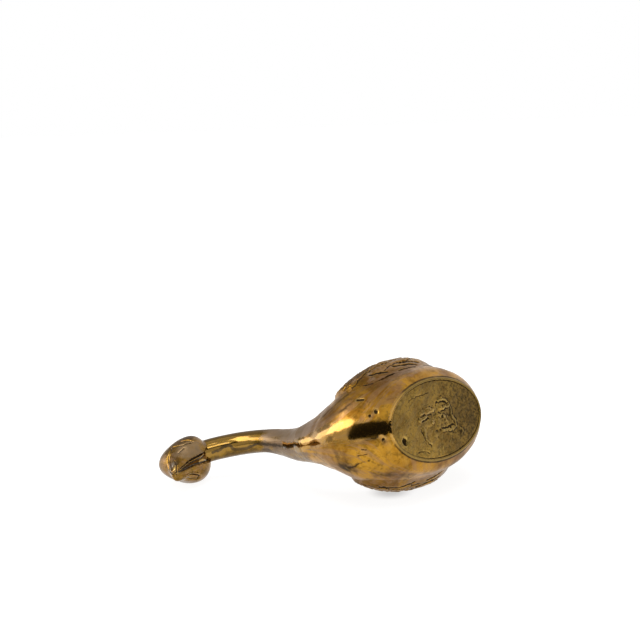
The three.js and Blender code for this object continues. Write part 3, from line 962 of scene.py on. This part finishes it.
# Neck
neck = {
    "seat": (0, -38.9, 66),
    "spigotRadius": 4.5,
    "spigotLength": 9,
    "radius": 6.75,
    "seatHalfWidth": 10.6,
    "seatHalfDepth": 10.1,
    "path": [
        (0, -38.9, 66), (0, -37.43, 72.908), (1.77, -34.91, 86.096), (4.602, -35.54, 101.796),
        (5.9, -42.03, 116.868), (5.9, -54.5, 128.8), (5.15, -60.5, 133.3),
    ],
    "wide": [(66, 10.6), (72.66, 9.7), (78.95, 8.95), (88.2, 7.85), (97.08, 7.05), (103, 6.75)],
    # the skin that runs down over the bowl's stub: height, how far it stands off the bowl
    "skirt": [(57.2, -0.4), (58.6, -0.08), (60, 0.06), (62, 0.12), (64, 0.14), (65.6, 0.12)],
    "skirtRings": 24,
    # how far inside the stub the skin's hidden side lies, and its levels
    "lining": (0.9, (65, 60, 57.4)),
    # heights over which the rubbing starts to shine, and over which it has worn the skin smooth
    "rubbed": (97, 108),
    "wornSmooth": (96, 104),
    # painted shade on the side that faces the floor, standing for the shadowed floor it mirrors
    "paintedUndersideShade": 0.6,
    "rows": 300,
    "sides": 200,
    # a painted dark line down its right side, standing for the shadowed floor that it mirrors: how
    # far it reaches, how dark it is, points
    "lineWidth": (0.5, 1.5),
    "paintedLineShade": 0.78,
    "line": [
        (4.5, -59.4, 124.2), (5, -56.6, 121.9), (6.5, -53.7, 119.4), (6.5, -51.5, 117.4),
        (3.6, -49.5, 116.1), (3, -47.2, 113.6), (2.9, -45.3, 110.4), (3.5, -44, 107.2),
        (4.2, -43, 103.8), (3.6, -42, 99.8), (3.1, -41.8, 95), (2.1, -42.3, 89.6),
        (1.1, -44.1, 82), (0.2, -46.8, 73.5), (0.9, -49.8, 63.5),
    ],
}


def evenly(line, count):
    run = np.concatenate([[0], np.cumsum(np.linalg.norm(np.diff(line, axis=0), axis=1))])
    at = np.linspace(0, run[-1], count)
    return np.stack([np.interp(at, run, line[:, k]) for k in range(3)], -1)


def neckRings():
    path = evenly(curveThrough(neck["path"]), neck["rows"])
    climb = np.gradient(path, axis=0)
    climb /= np.linalg.norm(climb, axis=1)[:, None]
    share = np.linspace(0, 1, neck["rows"])
    settled = smoothStep(0, 0.15, share)[:, None]
    axis = (1 - settled) * (0, 0, 1) + settled * climb
    axis /= np.linalg.norm(axis, axis=1)[:, None]
    sideways = np.array([1, 0, 0]) - axis * axis[:, :1]
    sideways /= np.linalg.norm(sideways, axis=1)[:, None]
    back = np.cross(axis, sideways)
    wide = along(neck["wide"])(path[:, 2])
    deepen = (neck["seatHalfDepth"] - neck["radius"]) / (neck["seatHalfWidth"] - neck["radius"])
    deep = neck["radius"] + (wide - neck["radius"]) * deepen
    angle = turns(neck["sides"])
    spread = wide[:, None, None] * sideways[:, None] * np.cos(angle)[None, :, None]
    spread = spread + deep[:, None, None] * back[:, None] * np.sin(angle)[None, :, None]
    return path[:, None] + spread


def neckPiece():
    sides, (x, y, z) = neck["sides"], neck["seat"]
    radius = neck["spigotRadius"]
    plug = [ovalRing(radius, radius, (x, y), h, sides) for h in (z - neck["spigotLength"], z - 1.5)]
    rearAt = along([(height, place) for place, height in bowl["rim"][3::-1]])

    def stubRing(height, proud):
        ring = bowlRing(height, sides, -proud)
        ring[:, 1] = np.minimum(ring[:, 1], rearAt(height) + proud)
        return ring

    proudAt = along(neck["skirt"])
    low, high = neck["skirt"][0][0], neck["skirt"][-1][0]
    skirt = [stubRing(h, proudAt(h)) for h in np.linspace(low, high, neck["skirtRings"])]
    under, levels = neck["lining"]
    lining = [stubRing(h, -under) for h in levels]
    shaft = neckRings()
    shaft[0] = shaft[0] + 0.1 * (shaft[0] - shaft[0].mean(0)) / neck["seatHalfWidth"]
    piece = loft("neckCasting", [*plug, *lining, *skirt, *shaft])
    spots, normals = surfaceOf(piece)
    rings = np.arange(len(spots)) // sides
    shown = (rings >= len(plug) + len(lining)) * smoothStep(57, 60, spots[:, 2])
    rubbed = np.maximum(stripAt(spots), smoothStep(*neck["wornSmooth"], spots[:, 2]))
    low = (unevenness(spots, rubbed) - skin["low"]) * shown
    setPoints(piece, spots - normals * low[:, None])
    return piece


neckCasting = neckPiece()
spots, normals = surfaceOf(neckCasting)
# the side that faces the floor in the lying pose: it gets painted shade and less polish
underside = smoothStep(0.25, 0.62, 0.2 * clouds(spots, 4, 53) - normals[:, 0])
# painted shade: a dark line where the neck mirrors the shadowed floor
lineAway = nearLine(spots, drawn(neck["line"]))[0] + 0.5 * clouds(spots, 2.5, 55)
darkLine = neck["paintedLineShade"] * (1 - smoothStep(*neck["lineWidth"], lineAway))
neckPolish = 0.92 * smoothStep(*neck["rubbed"], spots[:, 2] + 3 * clouds(spots, 4, 59))
neckPolish = np.maximum(neckPolish, stripAt(spots) * (spots[:, 2] < 80))
finishPiece(
    neckCasting, "neck", neckFinish,
    {
        "polish": neckPolish * (1 - underside * 0.6),
        "film": filmAt(spots) * (1 - neckPolish * 0.8),
        "dirt": np.maximum(
            neck["paintedUndersideShade"] * underside * smoothStep(84, 98, spots[:, 2]), darkLine
        ),
        "flow": spots * (1, 1, 0.2),
    },
    reach=6,
)


# Head
head = {
    "place": (3, -70.5, 136.2),
    "droop": 31,
    "turn": 13,
    "back": 13,
    "bill": 27,
    "narrowing": 0.28,
    "rows": 170,
    "sides": 200,
    "voxel": 0.3,
    "wide": [
        (-13, 1.5), (-11.8, 6.6), (-7.8, 11.4), (0, 13.2), (6.75, 12), (13.5, 8.4), (18.9, 5.6),
        (23.76, 4.4), (26.19, 2.8), (27, 0.8),
    ],
    "above": [
        (-13, 1.5), (-11.8, 8), (-7.8, 13.4), (-1.3, 16), (4.59, 15), (10.26, 10.88),
        (15.12, 6.08), (21.6, 3.52), (27, 0.6),
    ],
    "below": [
        (-13, 1.5), (-11.8, 7.3), (-7.8, 12.4), (0, 14.6), (8.1, 12.8), (14.85, 8.76),
        (22.95, 4.964), (27, 1.6),
    ],
    # the hollow between the cheeks, from the bill to the neck: points, half width, depth
    "throat": [
        (-2.2, -92, 121.2), (-0.8, -88.5, 120.7), (0.3, -84, 120.7), (1.5, -79, 121.1),
        (2.6, -72, 121.1), (3, -67, 121.9), (3.4, -62, 124.5),
    ],
    "throatWidth": [(0, 0.5), (0.2, 1.2), (0.5, 2.4), (0.8, 3.1), (1, 3.8)],
    "throatDepth": 2.1,
    # how low the skin lies, and the foremost place that the bill may reach
    "low": 0.05,
    "foremost": -93.34,
    # lines carved in it: points, width, depth
    "strokes": [
        # the seam between the crown and the left cheek, down to the bill's tip
        ([(12.3, -79.1, 137.2), (10.9, -81.1, 134.9), (9, -82.7, 134.3), (6.7, -84.2, 134.5),
          (4, -85.7, 133.7), (0.8, -87.2, 132), (-0.6, -90, 128), (-1.6, -92.9, 123.4),
          (-3.4, -92.2, 121.8)], 0.45, 1.0),
        # the left eye: its lower lid, and the fold behind the bill
        ([(12.4, -79.3, 135.4), (12.9, -78.6, 130.7), (12.8, -77.2, 127.5), (13.3, -75.3, 126.5),
          (12.9, -71.8, 124.7)], 0.42, 0.9),
        ([(13.2, -74.4, 132.6), (13.6, -72.6, 129.6), (12.9, -71.2, 126.4),
          (12.9, -71.8, 124.7)], 0.38, 0.6),
        ([(8.6, -82.6, 127.7), (10.2, -80.3, 126.7), (11.2, -78.1, 125.8)], 0.4, 0.4),
        ([(5.3, -86.1, 127.3), (2.4, -89.4, 122.3), (0, -90.7, 121),
          (-2.1, -91.8, 121.2)], 0.4, 0.45),
        # the left cheek's dark lower edge
        ([(-0.2, -89.9, 120.8), (1.8, -84.2, 121), (3.3, -79.5, 121.4), (4.5, -72.3, 121.1),
          (5.9, -67.2, 122.2), (8.4, -63.2, 124.4)], 0.45, 0.8),
        # the right eye
        ([(-5.3, -86.3, 121.7), (-4.8, -82, 122.2), (-5.2, -77.8, 122.9), (-6.3, -74, 123.7),
          (-7.7, -71.6, 125)], 0.4, 0.55),
        ([(-5.8, -87.5, 121.9), (-6.6, -82.4, 124.3), (-8, -76.7, 125.9), (-8.4, -72.9, 125.7),
          (-7.7, -71.6, 125)], 0.4, 0.7),
        # the seam between the crown and the right cheek
        ([(-8.4, -75, 139.7), (-8.4, -77.3, 137.2), (-7.4, -79.5, 136.3), (-5.9, -81.7, 136),
          (-4.2, -84.1, 134.7), (-3.6, -87.6, 131), (-4.6, -91.6, 124.4)], 0.5, 0.8),
    ],
    # ridges raised on it
    "ridges": [
        ([(10.4, -82.2, 133.6), (8, -84, 133.4), (5.4, -85.8, 132.4), (2.4, -88, 129.6),
          (0.6, -91.2, 124.6), (-1.6, -92.4, 121.8)], 0.45, 0.55),
        ([(4.2, -87.2, 127.8), (1.6, -90.8, 122.8), (-0.8, -91.6, 121.3)], 0.6, 0.35),
        ([(-0.8, -89.4, 120.6), (1.2, -84.1, 120.8), (2.7, -79.3, 121.3), (3.6, -73.8, 121),
          (4.4, -68.8, 121.6), (5.6, -65, 123)], 0.42, 1.3),
        ([(-2.6, -91.9, 121.2), (-2.1, -88.4, 120.5), (-1.5, -83.4, 120.7), (-0.4, -77.9, 121.2),
          (-0.2, -71.3, 121.3)], 0.6, 0.35),
        ([(-4.6, -86.3, 121.3), (-4, -82, 121.8), (-4.3, -77.8, 122.2), (-5.4, -73.6, 123.1),
          (-7, -70.8, 124.6)], 0.45, 0.4),
        ([(13, -60.4, 134), (12.3, -59.2, 130.9), (10.4, -60.8, 127.4), (8.1, -64.2, 124.3),
          (5.7, -68, 122)], 0.6, 0.5),
    ],
    # broad shapes: middle, size, how far each is pressed in
    "flats": [
        ((11.5, -74, 128), 8.5, 0.6), ((-6.4, -79.5, 124), 3.6, 0.45), ((5, -84.5, 140), 9, -0.6)
    ],
    "pupils": [((-7.6, -73.4, 124.9), 0.8, 0.8), ((13.3, -73.8, 129.4), 0.8, 0.5)],
    # where the pinkish skin lies: middle, size, how much
    "cheeks": [((8.6, -78, 126), 7.5, 1), ((9, -72, 124), 6, 0.8), ((-3.5, -76, 123), 6.5, 0.2)],
}


def headForm():
    spread = 0.5 - 0.5 * np.cos(np.pi * np.linspace(0, 1, head["rows"]))  # closer at both ends
    places = blend(spread, -head["back"], head["bill"])
    wide, above, below = (along(head[key])(places)[:, None] for key in ("wide", "above", "below"))
    rise, sideways = np.sin(turns(head["sides"]))[None], np.cos(turns(head["sides"]))[None]
    across = wide * sideways * (1 - head["narrowing"] * rise)
    upward = rise * np.where(rise > 0, above, below)
    ahead = np.repeat(-places[:, None], head["sides"], 1)
    piece = loft("headCasting", np.stack([across, ahead, upward], -1))
    piece.data.transform(
        Matrix.Translation(head["place"])
        @ Matrix.Rotation(math.radians(head["droop"]), 4, "X")
        @ Matrix.Rotation(math.radians(-head["turn"]), 4, "Z")
    )
    remake(piece, head["voxel"], 3)
    return piece


headPiece = headForm()
spots, normals = surfaceOf(headPiece)
away, share = nearLine(spots, onto(spots, head["throat"]))
reach = along(head["throatWidth"])(share)
throat = 1 - smoothStep(reach - 0.5, reach + 0.35, away)
push = 0.07 * clouds(spots, 6, 67) - head["throatDepth"] * throat * smoothStep(0, 0.25, share)
push -= dents(spots, head["flats"] + head["pupils"]) + strokes(spots, head["strokes"], 0.08)
push += strokes(spots, head["ridges"], 0.08)
lowered = spots + normals * (push - head["low"])[:, None]
lowered[:, 1] = np.maximum(lowered[:, 1], head["foremost"])
setPoints(headPiece, lowered)
billRidge = 1 - smoothStep(0.5, 1.4, nearLine(spots, onto(spots, head["ridges"][1][0]))[0])
cheeks = dents(spots, head["cheeks"]).clip(0, 1)
finishPiece(
    headPiece, "head", headFinish,
    {
        "polish": np.maximum(throat * 0.9, billRidge),
        "film": cheeks * (1 - throat) * 0.95,
        "flow": spots * (1, 0.5, 0.5),
    },
    reach=10,
    strength=0.12,
)


# Studio
studio = {
    # which way the floor faces and how far along it lies, and the point it is centred under
    "floorUp": (0.9595, -0.0556, -0.2762),
    "floorOffset": -43.74,
    "middle": (0, -20, 50),
    "eye": (51.808, -670.86, -597.715),
    "aim": (66.927, -32.523, 42.304),
    "roll": -2.41,
    "lens": 90.8,
    "floorGrey": 0.25,
    "floorGlow": 0.9,
    # a painted contact shadow on the floor, round the place where the right wing touches it: the
    # place, how dark, and how far out it fades
    "touch": (-36.2, -12, 35.4),
    "paintedShadowGlow": 0.56,
    "paintedShadowFade": (0.002, 0.015),
    # how far out the floor turns plain white
    "floorFade": (0.07, 0.15),
    "worldFill": 0.5,
    # the floor reaches this many metres each way
    "floorReach": 2,
    # the soft lamp above: millimetres to the right, towards the camera and up, width, watts
    "lampPlace": (-100, -50, 900),
    "lampWidth": 900,
    "lampPower": 6,
    # what the brass mirrors: for each card where it is seen from, how many metres away it is,
    # its strength and, round from the left, (degrees right of the camera, degrees up from, to)
    "breast": (3, -54, 34),
    "neck": (6, -44, 108),
    "throat": (7, -55.5, 121.5),
    "cards": {
        "darkRoom": (
            "breast", 1.5, 0.02,
            [(-25, 4, 43), (0, 4, 43), (40, 7, 34), (60, 6, 26), (85, 4, 24), (108, 4, 20)],
        ),
        "lowShade": (
            "breast", 0.3, 0.13, [(-84, -6, 6), (-70, -6, 10), (-45, -6, 13), (-25, -6, 15)]
        ),
        "nearShade": (
            "breast", 0.14, 0.42, [(-97, -17, 0), (-84, -17, 2), (-60, -15, 3), (-27, -15, 4)]
        ),
        "dimWall": (
            "breast", 1.5, 0.45, [(-80, 6, 10), (-60, 10, 15), (-40, 13, 27), (-25, 15, 39)]
        ),
        "softbox": (
            "breast", 1.5, 4.4,
            [(-104, 0, 13), (-91, 6, 24), (-60, 15, 49), (-40, 27, 55), (-26, 39, 53)],
        ),
        "softboxFoot": ("breast", 0.3, 2.6, [(-120, -7, 2), (-111, -7, 8), (-104, -5, 12)]),
        "neckWindow": (
            "neck", 0.3, 5, [(-88, 58, 72), (-62, 45, 70), (-38, 34, 70), (-27, 36, 70)]
        ),
        "neckGlint": ("throat", 0.25, 4, [(-2, 40, 54), (7, 40, 54)]),
        "neckShade": ("neck", 0.12, 0.75, [(-50, 0, 26), (-20, 0, 28), (20, 0, 28)]),
        "farWall": ("breast", 1.5, 0.42, [(-178, 2, 62), (-150, 2, 62), (-108, 2, 62)]),
        "ceiling": (
            "breast", 1.5, 0.75,
            [(-179, 60, 89), (-90, 60, 89), (0, 60, 89), (90, 60, 89), (180, 60, 89)],
        ),
    },
}
up = Vector(studio["floorUp"]).normalized()
eye, aim = (Vector(studio[key]) * metre for key in ("eye", "aim"))
back = (eye - aim).normalized()
right = up.cross(back).normalized()
tall = back.cross(right)
turn = Matrix.Rotation(math.radians(studio["roll"]), 3, back)
right, tall = turn @ right, turn @ tall
camera = added("camera", bpy.data.cameras.new("camera"))
camera.matrix_world = Matrix.Translation(eye) @ Matrix((right, tall, back)).transposed().to_4x4()
camera.data.lens = studio["lens"]
camera.data.clip_start, camera.data.clip_end = 0.05, 20
bpy.context.scene.camera = camera

# the floor's own directions: up, towards the camera, and to the picture's right
toCamera = (eye - up * eye.dot(up)).normalized()
toRight = up.cross(toCamera)
middle = Vector(studio["middle"]) * metre
ground = middle + up * (studio["floorOffset"] * metre - up.dot(middle))


def facing(place, target):
    # a frame whose -Z looks from place to target and whose Y leans towards the camera
    back = (place - target).normalized()
    across = toCamera.cross(back).normalized()
    turned = Matrix((across, back.cross(across), back)).transposed().to_4x4()
    return Matrix.Translation(place) @ turned


def plainGlow(name, strength):
    material = bpy.data.materials.new(name)
    start = emptied(material)
    light = start.make("ShaderNodeEmission", None, {"Color": (1, 1, 1, 1), "Strength": strength})
    start.make("ShaderNodeOutputMaterial", None, {"Surface": light})
    return material


def seenRays(start):
    # 1 for rays that end in the picture, straight or mirrored, and 0 for those that only light
    camera, glossy, through = (
        start.make("ShaderNodeLightPath", output=kind)
        for kind in ("Is Camera Ray", "Is Glossy Ray", "Is Transmission Ray")
    )
    return camera.math("MAXIMUM", camera.math("MAXIMUM", camera, glossy), through)


def paleFloor():
    material = bpy.data.materials.new("pale_floor")
    start = emptied(material)
    place = start.make("ShaderNodeTexCoord", output="Object")
    away = place.make("ShaderNodeVectorMath", {"operation": "LENGTH"}, {0: place}, 1)
    # painted contact shadow: the floor's glow is lowered near the place where the right wing
    # touches it
    pale, shadowTone = studio["floorGlow"], studio["paintedShadowGlow"]
    reach = Vector(studio["touch"]) * metre - ground
    touch = (-toRight.dot(reach), toCamera.dot(reach), 0)
    apart = place.make("ShaderNodeVectorMath", {"operation": "DISTANCE"}, {0: place, 1: touch}, 1)
    near = apart.band(*studio["paintedShadowFade"]).over((shadowTone, shadowTone, shadowTone, 1), (pale, pale, pale, 1))
    colour = away.band(*studio["floorFade"]).over(near, (1, 1, 1, 1))
    light = start.make("ShaderNodeEmission", None, {"Color": colour, "Strength": seenRays(start)})
    grey = studio["floorGrey"]
    matte = start.make("ShaderNodeBsdfDiffuse", None, {"Color": (grey, grey, grey, 1)})
    both = start.make("ShaderNodeAddShader", None, {0: matte, 1: light})
    behind = start.make("ShaderNodeNewGeometry", output="Backfacing")
    clear = start.make("ShaderNodeBsdfTransparent")
    mixed = start.make("ShaderNodeMixShader", None, {0: behind, 1: both, 2: clear})
    start.make("ShaderNodeOutputMaterial", None, {"Surface": mixed})
    return material


def sheet(name, places, faces, material):
    card = newPiece(name, [tuple(place) for place in places], faces)
    card.data.materials.append(material)
    return card


reach = studio["floorReach"]
corners = [(-reach, -reach, 0), (reach, -reach, 0), (reach, reach, 0), (-reach, reach, 0)]
floor = sheet("floor", corners, [[0, 1, 2, 3]], paleFloor())
floor.matrix_world = facing(ground, ground - up)


def toward(start, away, around, high):
    around, high = math.radians(around), math.radians(high)
    level = toRight * math.sin(around) + toCamera * math.cos(around)
    return Vector(start) * metre + (level * math.cos(high) + up * math.sin(high)) * away


for name, (start, away, strength, edges) in studio["cards"].items():
    places = [
        toward(studio[start], away, around, high) for around, *ends in edges for high in ends
    ]
    faces = [[2 * n, 2 * n + 1, 2 * n + 3, 2 * n + 2] for n in range(len(edges) - 1)]
    card = sheet(name, places, faces, plainGlow(name, strength))
    # only glossy rays see the cards
    card.visible_camera = card.visible_diffuse = card.visible_transmission = False
    card.visible_shadow = card.visible_volume_scatter = False

light = bpy.data.lights.new("topLamp", "AREA")
light.shape, light.energy = "RECTANGLE", studio["lampPower"]
light.size = light.size_y = studio["lampWidth"] * metre
topLamp = added("topLamp", light)
aside, near, high = studio["lampPlace"]
place = ground + (toRight * aside + toCamera * near + up * high) * metre
topLamp.matrix_world = facing(place, ground)
topLamp.visible_glossy = False

world = bpy.data.worlds.new("studio")
bpy.context.scene.world = world
start = emptied(world)
fill = studio["worldFill"]
strength = seenRays(start) * (1 - fill) + fill
light = start.make("ShaderNodeBackground", None, {"Color": (1, 1, 1, 1), "Strength": strength})
start.make("ShaderNodeOutputWorld", None, {"Surface": light})

bpy.context.scene.view_settings.view_transform = "Standard"
print("studio ready")
